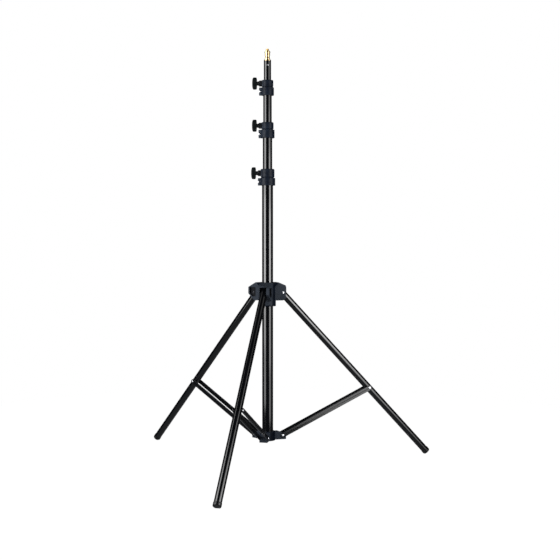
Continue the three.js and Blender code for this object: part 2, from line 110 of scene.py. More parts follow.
def rounded(corners, closed=True):
    """A profile of (r, z, radius) corners with each corner turned into an arc."""
    points = []
    count = len(corners)
    for i, (r, z, radius) in enumerate(corners):
        here = Vector((r, z))
        at_end = not closed and i in (0, count - 1)
        if radius <= 0 or at_end:
            points.append(here)
            continue
        before = Vector(corners[i - 1][:2]) - here
        after = Vector(corners[(i + 1) % count][:2]) - here
        reach = min(radius, before.length * 0.48, after.length * 0.48)
        start = here + before.normalized() * reach
        end = here + after.normalized() * reach
        for step in range(CORNER + 1):
            t = step / CORNER
            points.append((1 - t) ** 2 * start + 2 * t * (1 - t) * here + t ** 2 * end)
    return points


def lathe(corners, segments=ROUND, closed=False):
    """A profile turned about local z. An open profile starts and ends on the axis."""
    profile = rounded(corners, closed)
    bm = bmesh.new()
    rings = []
    for point in profile:
        r, z = point
        if r < 1e-6:
            rings.append([bm.verts.new((0, 0, z))])
            continue
        turns = [2 * math.pi * k / segments for k in range(segments)]
        rings.append([bm.verts.new((r * math.cos(turn), r * math.sin(turn), z)) for turn in turns])
    pairs = list(zip(rings, rings[1:]))
    if closed:
        pairs.append((rings[-1], rings[0]))
    for low, high in pairs:
        for k in range(segments):
            n = (k + 1) % segments
            if len(low) == 1 and len(high) == 1:
                continue
            if len(low) == 1:
                bm.faces.new((low[0], high[n], high[k]))
            elif len(high) == 1:
                bm.faces.new((low[k], low[n], high[0]))
            else:
                bm.faces.new((low[k], low[n], high[n], high[k]))
    bmesh.ops.recalc_face_normals(bm, faces=bm.faces)
    return bm


def tube(outer, inner, bottom, top):
    """A tube along local z, its rims broken by TUBE_LIP."""
    corners = [(inner, bottom), (outer, bottom), (outer, top), (inner, top)]
    return lathe([(r, z, TUBE_LIP) for r, z in corners], closed=True)


def prism(outline, low, high):
    """A closed outline of (x, z) points in the local xz plane, thick along y from low to high."""
    bm = bmesh.new()
    near = [bm.verts.new((x, low, z)) for x, z in outline]
    far = [bm.verts.new((x, high, z)) for x, z in outline]
    bm.faces.new(near)
    bm.faces.new(list(reversed(far)))
    count = len(outline)
    for i in range(count):
        n = (i + 1) % count
        bm.faces.new((near[i], far[i], far[n], near[n]))
    bmesh.ops.recalc_face_normals(bm, faces=bm.faces)
    return bm


def arc(cx, cz, radius, start, end, steps=12):
    """Points on an arc, angles in degrees."""
    return [
        (cx + radius * math.cos(math.radians(start + (end - start) * k / steps)),
         cz + radius * math.sin(math.radians(start + (end - start) * k / steps)))
        for k in range(steps + 1)
    ]


def rod(radius, start, end, segments=SMALL):
    """A plain rod between two local points."""
    start, run = Vector(start), Vector(end) - Vector(start)
    length = run.length
    bm = lathe([(0, 0, 0), (radius, 0, 0), (radius, length, 0), (0, length, 0)], segments)
    return moved(bm, Matrix.Translation(start) @ run.to_track_quat("Z", "Y").to_matrix().to_4x4())


def moved(bm, matrix):
    bm.transform(matrix)
    return bm


def turned(bm, degrees, axis="Z"):
    return moved(bm, Matrix.Rotation(math.radians(degrees), 4, axis))


def temporary(bm):
    """A throwaway object for modifiers."""
    mesh = bpy.data.meshes.new("work")
    bm.to_mesh(mesh)
    bm.free()
    obj = bpy.data.objects.new("work", mesh)
    bpy.context.scene.collection.objects.link(obj)
    return obj


def discard(obj):
    mesh = obj.data
    bpy.data.objects.remove(obj)
    bpy.data.meshes.remove(mesh)


def evaluated(obj):
    """The object's mesh with its modifiers applied, as a bmesh. The object goes."""
    depsgraph = bpy.context.evaluated_depsgraph_get()
    result = bpy.data.meshes.new_from_object(obj.evaluated_get(depsgraph))
    bm = bmesh.new()
    bm.from_mesh(result)
    bpy.data.meshes.remove(result)
    discard(obj)
    return bm


def combine(body, joined=(), cut=()):
    """body with the joined pieces added, then the cut pieces taken away."""
    base = temporary(body)
    tools = []
    for operation, pieces in (("UNION", joined), ("DIFFERENCE", cut)):
        for piece in pieces:
            tool = temporary(piece)
            modifier = base.modifiers.new("combine", "BOOLEAN")
            modifier.operation = operation
            modifier.solver = "EXACT"
            modifier.object = tool
            tools.append(tool)
    result = evaluated(base)
    for tool in tools:
        discard(tool)
    return result


def softened(bm, width):
    """Sharp edges rounded, as a moulded or cast piece has them."""
    bmesh.ops.dissolve_limit(bm, angle_limit=math.radians(0.5), verts=bm.verts, edges=bm.edges)
    bmesh.ops.triangulate(bm, faces=[face for face in bm.faces if len(face.verts) > 4])
    obj = temporary(bm)
    bevel = obj.modifiers.new("soften", "BEVEL")
    bevel.width = width
    bevel.segments = 3
    bevel.limit_method = "ANGLE"
    bevel.angle_limit = math.radians(32)
    bevel.miter_outer = "MITER_ARC"
    return evaluated(obj)


# ---------------------------------------------------------------- pieces

def level_normals(obj):
    """Keeps broad faces flat beside their rounded edges: normals weighted by face area, then baked in."""
    weigh = obj.modifiers.new("weigh", "WEIGHTED_NORMAL")
    weigh.keep_sharp = True
    depsgraph = bpy.context.evaluated_depsgraph_get()
    levelled = bpy.data.meshes.new_from_object(obj.evaluated_get(depsgraph))
    obj.modifiers.remove(weigh)
    rough = obj.data
    obj.data = levelled
    bpy.data.meshes.remove(rough)
    levelled.name = obj.name


def piece(name, bm, place, body, node, material, slot, sharp=35, second=None):
    """Turns a bmesh in local millimetres into a finished piece that stands for a node.

    second is the material of the faces whose material_index is 1.
    """
    bm.transform(place)
    bmesh.ops.recalc_face_normals(bm, faces=bm.faces)
    mesh = bpy.data.meshes.new(name)
    bm.to_mesh(mesh)
    bm.free()
    mesh.polygons.foreach_set("use_smooth", [True] * len(mesh.polygons))
    mesh.set_sharp_from_angle(angle=math.radians(sharp))
    mesh.materials.append(material)
    if second:
        mesh.materials.append(second)
    obj = bpy.data.objects.new(name, mesh)
    bpy.context.scene.collection.objects.link(obj)
    level_normals(obj)
    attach(obj, body)
    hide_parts(node)
    return obj


# ---------------------------------------------------------------- materials

class Nodes:
    """A short way to write a procedural material."""

    def __init__(self, name):
        self.material = bpy.data.materials.new(name)
        self.material.use_nodes = True
        self.tree = self.material.node_tree
        self.shader = self.tree.nodes["Principled BSDF"]
        self.coordinates = self.add("ShaderNodeTexCoord").outputs["Object"]

    def add(self, kind, **settings):
        node = self.tree.nodes.new(kind)
        for key, value in settings.items():
            setattr(node, key, value)
        return node

    def link(self, source, target):
        self.tree.links.new(source, target)

    def scaled(self, scale):
        """Object coordinates stretched by a scale per axis."""
        mapping = self.add("ShaderNodeMapping")
        mapping.inputs["Scale"].default_value = scale
        self.link(self.coordinates, mapping.inputs["Vector"])
        return mapping.outputs["Vector"]

    def noise(self, scale, detail=4, roughness=0.55, vector=None):
        node = self.add("ShaderNodeTexNoise")
        node.inputs["Scale"].default_value = scale
        node.inputs["Detail"].default_value = detail
        node.inputs["Roughness"].default_value = roughness
        self.link(vector or self.coordinates, node.inputs["Vector"])
        return node.outputs["Fac"]

    def cells(self, scale, vector=None):
        node = self.add("ShaderNodeTexVoronoi")
        node.inputs["Scale"].default_value = scale
        self.link(vector or self.coordinates, node.inputs["Vector"])
        return node.outputs["Distance"]

    def ramp(self, value, low, high, out_low=0.0, out_high=1.0):
        node = self.add("ShaderNodeMapRange")
        node.inputs["From Min"].default_value = low
        node.inputs["From Max"].default_value = high
        node.inputs["To Min"].default_value = out_low
        node.inputs["To Max"].default_value = out_high
        self.link(value, node.inputs["Value"])
        return node.outputs["Result"]

    def math(self, operation, a, b):
        node = self.add("ShaderNodeMath", operation=operation)
        for socket, value in zip(node.inputs, (a, b)):
            if isinstance(value, (int, float)):
                socket.default_value = value
            else:
                self.link(value, socket)
        return node.outputs["Value"]

    def mix(self, factor, first, second):
        node = self.add("ShaderNodeMix", data_type="RGBA")
        self.link(factor, node.inputs["Factor"])
        for socket, value in ((node.inputs["A"], first), (node.inputs["B"], second)):
            if isinstance(value, tuple):
                socket.default_value = (*value, 1)
            else:
                self.link(value, socket)
        return node.outputs["Result"]

    def edges(self, low, high):
        """1 on outer edges, where handling wears a surface."""
        pointiness = self.add("ShaderNodeNewGeometry").outputs["Pointiness"]
        return self.ramp(pointiness, low, high)

    def bump(self, height, strength, distance):
        node = self.add("ShaderNodeBump")
        node.inputs["Strength"].default_value = strength
        node.inputs["Distance"].default_value = distance
        self.link(height, node.inputs["Height"])
        self.link(node.outputs["Normal"], self.shader.inputs["Normal"])

    def set(self, **values):
        for key, value in values.items():
            socket = self.shader.inputs[key.replace("_", " ")]
            if isinstance(value, bpy.types.NodeSocket):
                self.link(value, socket)
            elif isinstance(value, tuple):
                socket.default_value = (*value, 1)
            else:
                socket.default_value = value


def tube_paint(name, along, slide_wear):
    """Gloss black enamel on a drawn tube. along is the tube's direction in the row frame."""
    m = Nodes(name)
    lined = m.add("ShaderNodeMapping", vector_type="POINT")
    lined.inputs["Rotation"].default_value = along.rotation_difference(UP).to_euler()
    m.link(m.coordinates, lined.inputs["Vector"])
    stretch = m.add("ShaderNodeMapping")
    stretch.inputs["Scale"].default_value = (1, 1, 0.012)
    m.link(lined.outputs["Vector"], stretch.inputs["Vector"])
    streaks = m.noise(2600, 3, 0.6, stretch.outputs["Vector"])
    scuffs = m.ramp(streaks, 0.66, 0.78, 0.0, slide_wear)
    cloud = m.noise(14, 5, 0.6)
    peel = m.noise(700, 2, 0.5)
    dust = m.ramp(m.noise(2400, 1, 0.5), 0.74, 0.82, 0.0, 0.2)
    colour = m.mix(cloud, (0.0006, 0.0007, 0.001), (0.0016, 0.0018, 0.0024))
    colour = m.mix(scuffs, colour, (0.012, 0.0125, 0.014))
    colour = m.mix(m.math("MULTIPLY", dust, 0.12), colour, (0.04, 0.04, 0.043))
    colour = m.mix(m.edges(0.6, 0.72), colour, (0.06, 0.06, 0.064))
    roughness = m.math("ADD", m.ramp(cloud, 0.3, 0.7, 0.085, 0.12), m.math("MULTIPLY", scuffs, 0.06))
    height = m.math("ADD", m.math("MULTIPLY", peel, 0.8), m.math("MULTIPLY", streaks, 0.1))
    m.bump(height, 0.02, 0.0001)
    m.set(Base_Color=colour, Roughness=roughness, Metallic=0.0)
    m.set(Specular_IOR_Level=0.5)
    return m.material


def brace_paint():
    """Black enamel on flat bar, finely scratched; its edges lighter, partly paint worn thin and partly a
    painted highlight.
    """
    m = Nodes("brace_paint")
    cloud = m.noise(30, 5, 0.6)
    grit = m.noise(1500, 3, 0.6)
    scratches = m.noise(900, 4, 0.7, m.scaled((0.25, 0.25, 1)))
    worn = m.ramp(scratches, 0.68, 0.74, 0, 0.4)
    colour = m.mix(cloud, (0.002, 0.0022, 0.0028), (0.005, 0.0054, 0.0064))
    colour = m.mix(worn, colour, (0.016, 0.0165, 0.018))
    # lighter edges: painted highlight along the rounded edges, with some edge wear
    colour = m.mix(m.edges(0.62, 0.75), colour, (0.06, 0.062, 0.066))
    m.bump(grit, 0.02, 0.0001)
    m.set(Base_Color=colour, Roughness=m.ramp(cloud, 0.3, 0.7, 0.13, 0.18), Metallic=0.0)
    m.set(Specular_IOR_Level=0.5)
    return m.material


def moulded(name, dark, light, rough, grain, edge, gleam):
    """Moulded plastic with a fine leathery grain, cloudy colour and rubbed edges.

    grain is how fine the pebbling is, gleam how strongly the surface mirrors.
    """
    m = Nodes(name)
    cloud = m.noise(45, 5, 0.62)
    pebble = m.cells(grain)
    fine = m.noise(grain * 2.2, 3, 0.6)
    rubbed = m.ramp(m.noise(160, 5, 0.7), 0.6, 0.78, 0, 0.4)
    colour = m.mix(m.ramp(cloud, 0.35, 0.65), dark, light)
    colour = m.mix(m.math("MULTIPLY", rubbed, 0.35), colour, edge)
    colour = m.mix(m.math("MULTIPLY", m.edges(0.6, 0.72), 0.55), colour, edge)
    height = m.math("ADD", pebble, m.math("MULTIPLY", fine, 0.5))
    m.bump(height, 0.22, 0.00012)
    uneven = m.ramp(fine, 0.3, 0.7, rough - 0.05, rough + 0.07)
    roughness = m.math("SUBTRACT", uneven, m.math("MULTIPLY", rubbed, 0.18))
    m.set(Base_Color=colour, Roughness=roughness)
    m.set(Specular_IOR_Level=gleam)
    return m.material


def foot_rubber():
    """Black rubber, pored, with a little dust near the floor."""
    m = Nodes("foot_rubber")
    cloud = m.noise(60, 5, 0.65)
    pores = m.cells(2400)
    height_above_floor = m.add("ShaderNodeSeparateXYZ")
    m.link(m.coordinates, height_above_floor.inputs["Vector"])
    low = m.ramp(height_above_floor.outputs["Z"], 0.0, 0.014, 1.0, 0.0)
    dusty = m.math("MULTIPLY", low, m.ramp(m.noise(420, 5, 0.7), 0.35, 0.7))
    colour = m.mix(cloud, (0.0008, 0.0008, 0.001), (0.0022, 0.0022, 0.0026))
    colour = m.mix(m.math("MULTIPLY", dusty, 0.15), colour, (0.02, 0.019, 0.017))
    colour = m.mix(m.math("MULTIPLY", m.edges(0.53, 0.62), 0.4), colour, (0.02, 0.02, 0.022))
    m.bump(m.math("ADD", pores, m.noise(700, 3)), 0.15, 0.00012)
    m.set(Base_Color=colour, Roughness=m.ramp(cloud, 0.3, 0.7, 0.26, 0.38))
    m.set(Specular_IOR_Level=0.3)
    return m.material


def zinc(name="zinc_steel", light=(0.78, 0.79, 0.81), dark=(0.52, 0.53, 0.56)):
    """Plated or plain steel with a faint spangle and grime."""
    m = Nodes(name)
    cloud = m.noise(260, 5, 0.65)
    spangle = m.cells(900)
    grime = m.ramp(m.noise(520, 5, 0.7), 0.58, 0.74, 0, 0.5)
    colour = m.mix(cloud, dark, light)
    colour = m.mix(grime, colour, (0.20, 0.19, 0.18))
    m.bump(m.math("ADD", spangle, m.noise(3500, 2)), 0.15, 0.00006)
    m.set(Base_Color=colour, Roughness=m.ramp(cloud, 0.3, 0.7, 0.2, 0.38), Metallic=1.0)
    return m.material


def brass():
    """Turned brass: fine lathe rings, warm variation and a little tarnish in the hollows."""
    m = Nodes("spigot_brass")
    rings = m.noise(1.0, 3, 0.6, m.scaled((40, 40, 9000)))
    cloud = m.noise(220, 5, 0.65)
    tarnish = m.ramp(m.noise(420, 5, 0.7), 0.52, 0.72, 0, 0.7)
    colour = m.mix(cloud, (0.62, 0.44, 0.20), (0.84, 0.66, 0.38))
    colour = m.mix(tarnish, colour, (0.36, 0.23, 0.10))
    colour = m.mix(m.edges(0.53, 0.62), colour, (0.95, 0.84, 0.60))
    m.bump(rings, 0.35, 0.00005)
    m.set(Base_Color=colour, Roughness=m.ramp(rings, 0.3, 0.7, 0.14, 0.3), Metallic=1.0)
    return m.material


def nylon():
    m = Nodes("bush_nylon")
    cloud = m.noise(180, 4, 0.6)
    colour = m.mix(cloud, (0.62, 0.60, 0.54), (0.78, 0.76, 0.70))
    m.bump(m.noise(1800, 3), 0.15, 0.0001)
    m.set(Base_Color=colour, Roughness=m.ramp(cloud, 0.3, 0.7, 0.4, 0.55))
    m.set(Subsurface_Weight=0.05)
    return m.material


HUB_PLASTIC = moulded("hub_plastic", (0.0008, 0.0015, 0.0034), (0.0022, 0.0038, 0.0076), 0.4, 1500,
                      (0.03, 0.036, 0.046), 0.035)
COLLAR_PLASTIC = moulded("collar_plastic", (0.0022, 0.0036, 0.0074), (0.0056, 0.009, 0.016), 0.4, 1500,
                         (0.05, 0.06, 0.075), 0.09)
# darker copy of the moulded plastic: painted shade, laid on the spider's sunk panels and on the collars'
# knob bosses
SHADE_PAINTED_PLASTIC = moulded("shade_painted_plastic", (0.0006, 0.0009, 0.0017), (0.0015, 0.002, 0.0034), 0.6, 1500,
                         (0.006, 0.0065, 0.008), 0.05)
KNOB_PLASTIC = moulded("knob_plastic", (0.0012, 0.0019, 0.0022), (0.003, 0.0042, 0.0046), 0.4, 2100,
                       (0.02, 0.024, 0.028), 0.1)
RUBBER = foot_rubber()
ZINC = zinc()
SCREW_STEEL = zinc("screw_steel", (0.6, 0.61, 0.63), (0.36, 0.37, 0.39))
# darker copy of the plated steel: painted shade, for the rivet tails that sit in the sunk panels
SHADE_PAINTED_STEEL = zinc("shade_painted_steel", (0.06, 0.062, 0.07), (0.03, 0.031, 0.034))
BRASS = brass()
NYLON = nylon()
BRACE_PAINT = brace_paint()
COLUMN_PAINT = tube_paint("column_paint", UP, 0.15)
RISER_PAINT = tube_paint("riser_paint", UP, 0.2)


# ---------------------------------------------------------------- column and risers

def straight_tube(node, body, material, wall):
    low, high = node_box(node)
    outer = (high.x - low.x) / 2
    skin = tube(outer, outer - wall, low.z, high.z)
    piece(f"{node}_skin", skin, COLUMN, body, node, material, "tube_paint")


def end_plug(name, node, body, place, flange, insert, low, seat, high, material, slot):
    """A hollow plug on local z: a flange from low to seat, then the insert up to high."""
    bm = lathe([
        (0, low, 0), (flange, low, 0.7), (flange, seat, 0.3), (insert, seat, 0.2),
        (insert, high, 0.8), (insert - 2.2, high, 0.4), (insert - 2.2, seat + 1, 0.5), (0, seat + 1, 0),
    ])
    piece(name, bm, place, body, node, material, slot)


WALLS = {"base_tube": 2.0, "riser_1_tube": 1.2, "riser_2_tube": 1.7, "riser_3_tube": 1.5}
straight_tube("base_tube", "column", COLUMN_PAINT, WALLS["base_tube"])
for number in SECTORS:
    straight_tube(f"riser_{number}_tube", f"riser_{number}", RISER_PAINT, WALLS[f"riser_{number}_tube"])


def guide_bush(number):
    node = f"riser_{number}_guide_bush"
    tube_node = f"riser_{number}_tube"
    low, high = node_box(node)
    tube_low, tube_high = node_box(tube_node)
    flange = (high.x - low.x) / 2
    insert = (tube_high.x - tube_low.x) / 2 - WALLS[tube_node] - FIT
    seat = tube_low.z - FIT
    end_plug(f"{node}_fine", node, f"riser_{number}", COLUMN, flange, insert, low.z, seat, high.z, NYLON,
             "bush_nylon")


for number in SECTORS:
    guide_bush(number)


def base_plug():
    low, high = node_box("base_plug")
    tube_low, tube_high = node_box("base_tube")
    outer = (tube_high.x - tube_low.x) / 2
    end_plug("base_plug_fine", "base_plug", "column", COLUMN, outer - 0.2, outer - WALLS["base_tube"] - FIT,
             low.z, tube_low.z - FIT, high.z, HUB_PLASTIC, "hub_plastic")


base_plug()


# ---------------------------------------------------------------- collars and knobs

# distances along the stud count from the ring that the knob stands on
KNOB = {
    "boss_end": 7.9, "boss_radius": 9.5, "inner": 14.5, "outer": 30.0, "length": 37.6, "width": 14.5,
    "neck": 6.2, "crown": 1.6,
}
STUD_RADIUS = 4.0
STUD_PITCH, STUD_THREAD_DEPTH = 1.25, 0.6
STUD_COVER = 5.0             # handle left outside the stud's end
PAD_LENGTH = 2.4
# where each pad starts: just off the tube it clamps
PAD_START = {"lower_collar": 15.3, "middle_collar": 13.8, "upper_collar": 11.8, "spider": 17.8}
LUG = {"reach": 6.2, "width": 12.0, "slit": 2.0, "bolt_at": 3.1, "hole": 2.6, "bolt": 2.4, "head": 3.7,
       "head_height": 3.0, "corner": 2.0}


def superellipse(half_x, half_y, power, steps):
    """Points round a superellipse, flatter sided as power rises."""
    points = []
    for k in range(steps):
        angle = 2 * math.pi * k / steps
        c, s = math.cos(angle), math.sin(angle)
        points.append((
            half_x * math.copysign(abs(c) ** (2 / power), c),
            half_y * math.copysign(abs(s) ** (2 / power), s),
        ))
    return points


def t_handle(inner, outer):
    """The knob's bar: lofted along z, crowned outside, waisted a little at its middle for the fingers."""
    half_length = KNOB["length"] / 2
    stations, around = 56, 64
    bm = bmesh.new()
    rings = []
    for i in range(1, stations):
        t = -math.cos(math.pi * i / stations)
        z = half_length * t
        fullness = 0.35 + 0.65 * (1 - abs(t) ** 5.5) ** (1 / 3.2)
        waist = 0.93 - 0.07 * math.cos(2 * math.pi * t)
        back = outer - KNOB["crown"] * t * t
        depth, width = (back - inner) / 2 * fullness, KNOB["width"] / 2 * fullness * waist
        section = superellipse(depth, width, 4.2, around)
        rings.append([bm.verts.new(((inner + back) / 2 + x, y, z)) for x, y in section])
    for low, high in zip(rings, rings[1:]):
        for k in range(around):
            n = (k + 1) % around
            bm.faces.new((low[k], low[n], high[n], high[k]))
    bm.faces.new(list(reversed(rings[0])))
    bm.faces.new(rings[-1])
    bmesh.ops.recalc_face_normals(bm, faces=bm.faces)
    return bm


def knob(prefix, knob_body, pad_body, joint, ring_radius):
    """Handle, stud and brake pad. Local x points out along the stud, z along the handle's bar."""
    centre, out = joint_place(joint)
    place = basis(Vector((AXIS.x, AXIS.y, centre.z)), out, UP)
    inner, outer = ring_radius + KNOB["inner"], ring_radius + KNOB["outer"]
    start = ring_radius + KNOB["boss_end"] + FIT
    neck, flange = KNOB["neck"], KNOB["neck"] + 1.4
    stem = lathe([
        (0, start, 0), (flange, start, 0.6), (flange, start + 1.8, 0.8), (neck, start + 2.6, 1.0),
        (neck + 0.6, inner + 2.4, 0), (0, inner + 2.4, 0),
    ])
    grip = combine(t_handle(inner, outer), joined=[turned(stem, 90, "Y")])
    grip = combine(grip, cut=[rod(STUD_RADIUS + 0.1, (ring_radius, 0, 0), (outer - 4.7, 0, 0))])
    piece(f"{prefix}_knob_grip", grip, place, knob_body, f"{prefix}_knob", KNOB_PLASTIC, "knob_plastic", 50)

    reach = PAD_START[prefix]
    pad = lathe([
        (0, 0, 0), (STUD_RADIUS, 0, 0.5), (STUD_RADIUS, PAD_LENGTH, 0.3), (0, PAD_LENGTH, 0),
    ], SMALL)
    pad = moved(turned(pad, 90, "Y"), Matrix.Translation((reach, 0, 0)))
    piece(f"{prefix}_brake_pad_fine", pad, place, pad_body, f"{prefix}_brake_pad", NYLON, "bush_nylon")

    stud_start = reach + PAD_LENGTH + FIT
    stud = threaded(STUD_RADIUS, STUD_PITCH, STUD_THREAD_DEPTH, outer - STUD_COVER - stud_start)
    stud = moved(turned(stud, 90, "Y"), Matrix.Translation((stud_start, 0, 0)))
    piece(f"{prefix}_knob_stud_fine", stud, place, knob_body, f"{prefix}_knob_stud", ZINC, "zinc_steel")


def threaded(radius, pitch, depth, length, segments=36, per_turn=8):
    """A screw thread along local z: the radius follows a triangle wave that climbs as it turns."""
    rows = max(4, round(length / pitch * per_turn))
    bm = bmesh.new()
    rings = []
    for row in range(rows + 1):
        z = length * row / rows
        lead = min(1.0, z / pitch, (length - z) / pitch)
        ring = []
        for k in range(segments):
            turn = k / segments
            angle = 2 * math.pi * turn
            wave = abs(((z / pitch - turn) % 1.0) * 2 - 1)
            r = radius - depth * (1 - lead * (1 - wave))
            ring.append(bm.verts.new((r * math.cos(angle), r * math.sin(angle), z)))
        rings.append(ring)
    for low, high in zip(rings, rings[1:]):
        for k in range(segments):
            n = (k + 1) % segments
            bm.faces.new((low[k], low[n], high[n], high[k]))
    bm.faces.new(list(reversed(rings[0])))
    bm.faces.new(rings[-1])
    return bm


def hexagon(across, height):
    """A hexagon head along local z with its outer corners chamfered off."""
    shape = temporary(lathe([(0, 0, 0), (across, 0, 0), (across, height, 0), (0, height, 0)], 6))
    wide, narrow = across * 1.1, across * 0.8
    tool = temporary(lathe([
        (0, 0, 0), (wide, 0, 0), (wide, height * 0.62, 0), (narrow, height, 0), (0, height, 0),
    ], SMALL))
    crop = shape.modifiers.new("crop", "BOOLEAN")
    crop.operation, crop.solver, crop.object = "INTERSECT", "EXACT", tool
    result = evaluated(shape)
    discard(tool)
    return result


def pinch_bolt(x, z, face, shank, across):
    """Hex nut, shank and round crowned head across y, at local (x, z); the head faces +y."""
    height = LUG["head_height"]
    nut = moved(turned(hexagon(across, height), 90, "X"), Matrix.Translation((x, -face - 0.1, z)))
    head = lathe([
        (0, 0, 0), (across, 0, 0.2), (across, height * 0.55, 1.0), (across / 2, height, 1.6), (0, height, 0),
    ], SMALL)
    head = moved(turned(head, -90, "X"), Matrix.Translation((x, face + 0.1, z)))
    core = rod(shank, (x, -face - height - 0.7, z), (x, face + 1, z))
    return combine(core, joined=[head, nut])


def knob_boss(start, end, height):
    """The round boss that a knob's stud screws through, along local x at a height."""
    radius = KNOB["boss_radius"]
    boss = turned(lathe([(0, start, 0), (radius, start, 0), (radius, end, 1.4), (0, end, 0)]), 90, "Y")
    return moved(boss, Matrix.Translation((0, 0, height)))


def collar(spec):
    """A clamp collar: turned body, pinch lug with its slit and bolt, and the boss for the knob."""
    name = spec["name"]
    low, high = node_box(name)
    tube_low, tube_high = node_box(spec["tube"])
    riser_low, riser_high = node_box(spec["riser"])
    tube_bore = (tube_high.x - tube_low.x) / 2 + FIT
    riser_bore = (riser_high.x - riser_low.x) / 2 + 0.4
    bottom, step, top = low.z, tube_high.z + 0.3, high.z
    lower, upper = spec["lower"], spec["upper"]
    groove, lip = min(lower, upper) - 1.8, upper - 0.7
    centre, out = joint_place(spec["joint"])
    place = basis(AXIS, out, UP)
    ring = lathe([
        (tube_bore, bottom, 0.4), (lower, bottom, 1.3), (lower, step - 1.2, 1.0), (groove, step, 0.5),
        (groove, step + 1.4, 0.5), (upper, step + 2.4, 0.9), (upper, top - 2.6, 0.6), (lip, top - 2.2, 0.3),
        (lip, top, 1.4), (riser_bore, top, 0.5), (riser_bore, step, 0.2), (tube_bore, step, 0.2),
    ], closed=True)
    lug_start, lug_end, lug_top, corner = tube_bore + 2, lower + LUG["reach"], step - 1.2, LUG["corner"]
    outline = [(lug_start, bottom)] + arc(lug_end - corner, bottom + corner, corner, -90, 0, 8)
    outline += arc(lug_end - corner, lug_top - corner, corner, 0, 90, 8) + [(lug_start, lug_top)]
    half = LUG["width"] / 2
    lug = prism(outline, -half, half)
    boss_end = upper + KNOB["boss_end"]
    boss = knob_boss(riser_bore + 1.5, boss_end, centre.z)
    slit_start, slit_end = tube_bore - 4, lug_end + 1
    slit = prism([
        (slit_start, bottom - 1), (slit_end, bottom - 1), (slit_end, step - 1), (slit_start, step - 1),
    ], -LUG["slit"] / 2, LUG["slit"] / 2)
    bolt_x, bolt_z = lower + LUG["bolt_at"], (bottom + step) / 2 - 1
    hole = rod(LUG["hole"], (bolt_x, -20, bolt_z), (bolt_x, 20, bolt_z))
    stud_hole = rod(STUD_RADIUS + 0.2, (0, 0, centre.z), (boss_end + 1, 0, centre.z))
    body = combine(ring, joined=[lug, boss], cut=[slit, hole, stud_hole])
    body = softened(body, 0.5)
    # faces on the knob's boss take the darker plastic: painted shade
    for face in body.faces:
        at = face.calc_center_median()
        on_boss = at.x > upper + 0.6 and abs(at.z - centre.z) < KNOB["boss_radius"] + 0.1
        face.material_index = int(on_boss)
    holder = spec["holder"]
    piece(f"{name}_body", body, place, holder, name, COLLAR_PLASTIC, "hub_plastic", second=SHADE_PAINTED_PLASTIC)
    bolt = pinch_bolt(bolt_x, bolt_z, half, LUG["bolt"], LUG["head"])
    piece(f"{name}_pinch_bolt_fine", bolt, place, holder, f"{name}_pinch_bolt", ZINC, "zinc_steel", 25)
    knob(name, spec["knob"], holder, spec["joint"], upper)


COLLARS = (
    {"name": "lower_collar", "holder": "column", "knob": "lower_knob", "joint": "lower_knob_turn",
     "tube": "base_tube", "riser": "riser_1_tube", "lower": 24.3, "upper": 22.0},
    {"name": "middle_collar", "holder": "riser_1", "knob": "middle_knob", "joint": "middle_knob_turn",
     "tube": "riser_1_tube", "riser": "riser_2_tube", "lower": 22.2, "upper": 19.2},
    {"name": "upper_collar", "holder": "riser_2", "knob": "upper_knob", "joint": "upper_knob_turn",
     "tube": "riser_2_tube", "riser": "riser_3_tube", "lower": 20.4, "upper": 18.4},
)

for spec in COLLARS:
    collar(spec)


# ---------------------------------------------------------------- spider and lower hub

def reach_of(place):
    """Distance from the column's axis, level with the floor."""
    return (place - AXIS).xy.length


PIVOT, _ = joint_place("leg_1_fold")
PIVOT_RADIUS = reach_of(PIVOT)
LOWER_PIVOT = (box_centre("brace_1_left_rivet") + box_centre("brace_1_right_rivet")) / 2
LOWER_RADIUS = reach_of(LOWER_PIVOT)
TUBE_LOW, TUBE_HIGH = node_box("base_tube")
TUBE_RADIUS = (TUBE_HIGH.x - TUBE_LOW.x) / 2
PIN = 2.5
# radii and heights of the two hubs; heights are from their pivots
SPIDER = {
    "sleeve": 26.5, "crown_radius": 33.0, "arm_bottom": -25.0, "rim": 24.0,
    "pocket_half": 12.2, "pocket_start": 29.5, "pocket_top": 18.5,
}
# each arm is a fork: a thin cheek clockwise, a thick one with a sunk panel on its other side
THIN_CHEEK = {"outside": 16.3, "reach": 56.0, "shoulder": 23.5, "corner": 9.0}
THICK_CHEEK = {"outside": 21.3, "reach": 66.0, "shoulder": 17.5, "corner": 26.0}
RECESS = {"depth": 5.6, "start": 33.0, "end": 59.5, "bottom": -13.0, "top": 16.5, "corner": 12.0}
CORNER_SLOPE = 0.8
HUB = {
    "sleeve": 24.5, "arm_bottom": -13.0, "arm_top": 12.0, "tip_top": 3.0,
    "half_width": 12.4, "shoulder": 34.5, "reach": 58.0,
}


def azimuth_of(number):
    place, _ = joint_place(f"leg_{number}_fold")
    away = outward(place)
    return math.degrees(math.atan2(away.y, away.x))


def cheek_outline(cheek, arm_bottom, crown):
    """One side of an arm: sloping top down to a small nose, lower outer corner cut off."""
    root, reach, corner, nose = TUBE_RADIUS + 1, cheek["reach"], cheek["corner"], 2.5
    shoulder = PIVOT.z + cheek["shoulder"]
    outline = [(root, arm_bottom), (reach - corner, arm_bottom), (reach, arm_bottom + corner * CORNER_SLOPE)]
    outline += arc(reach - nose, shoulder - nose, nose, 0, 70, 5)
    return outline + [(SPIDER["crown_radius"], crown), (root, crown)]


def spider_recess():
    """Outline of the sunk panel on a thick cheek, its lower outer corner cut off."""
    start, end, cut = RECESS["start"], RECESS["end"], RECESS["corner"]
    sill, head = PIVOT.z + RECESS["bottom"], PIVOT.z + RECESS["top"]
    return [(start, sill), (end - cut, sill), (end, sill + cut * CORNER_SLOPE), (end, head), (start, head)]


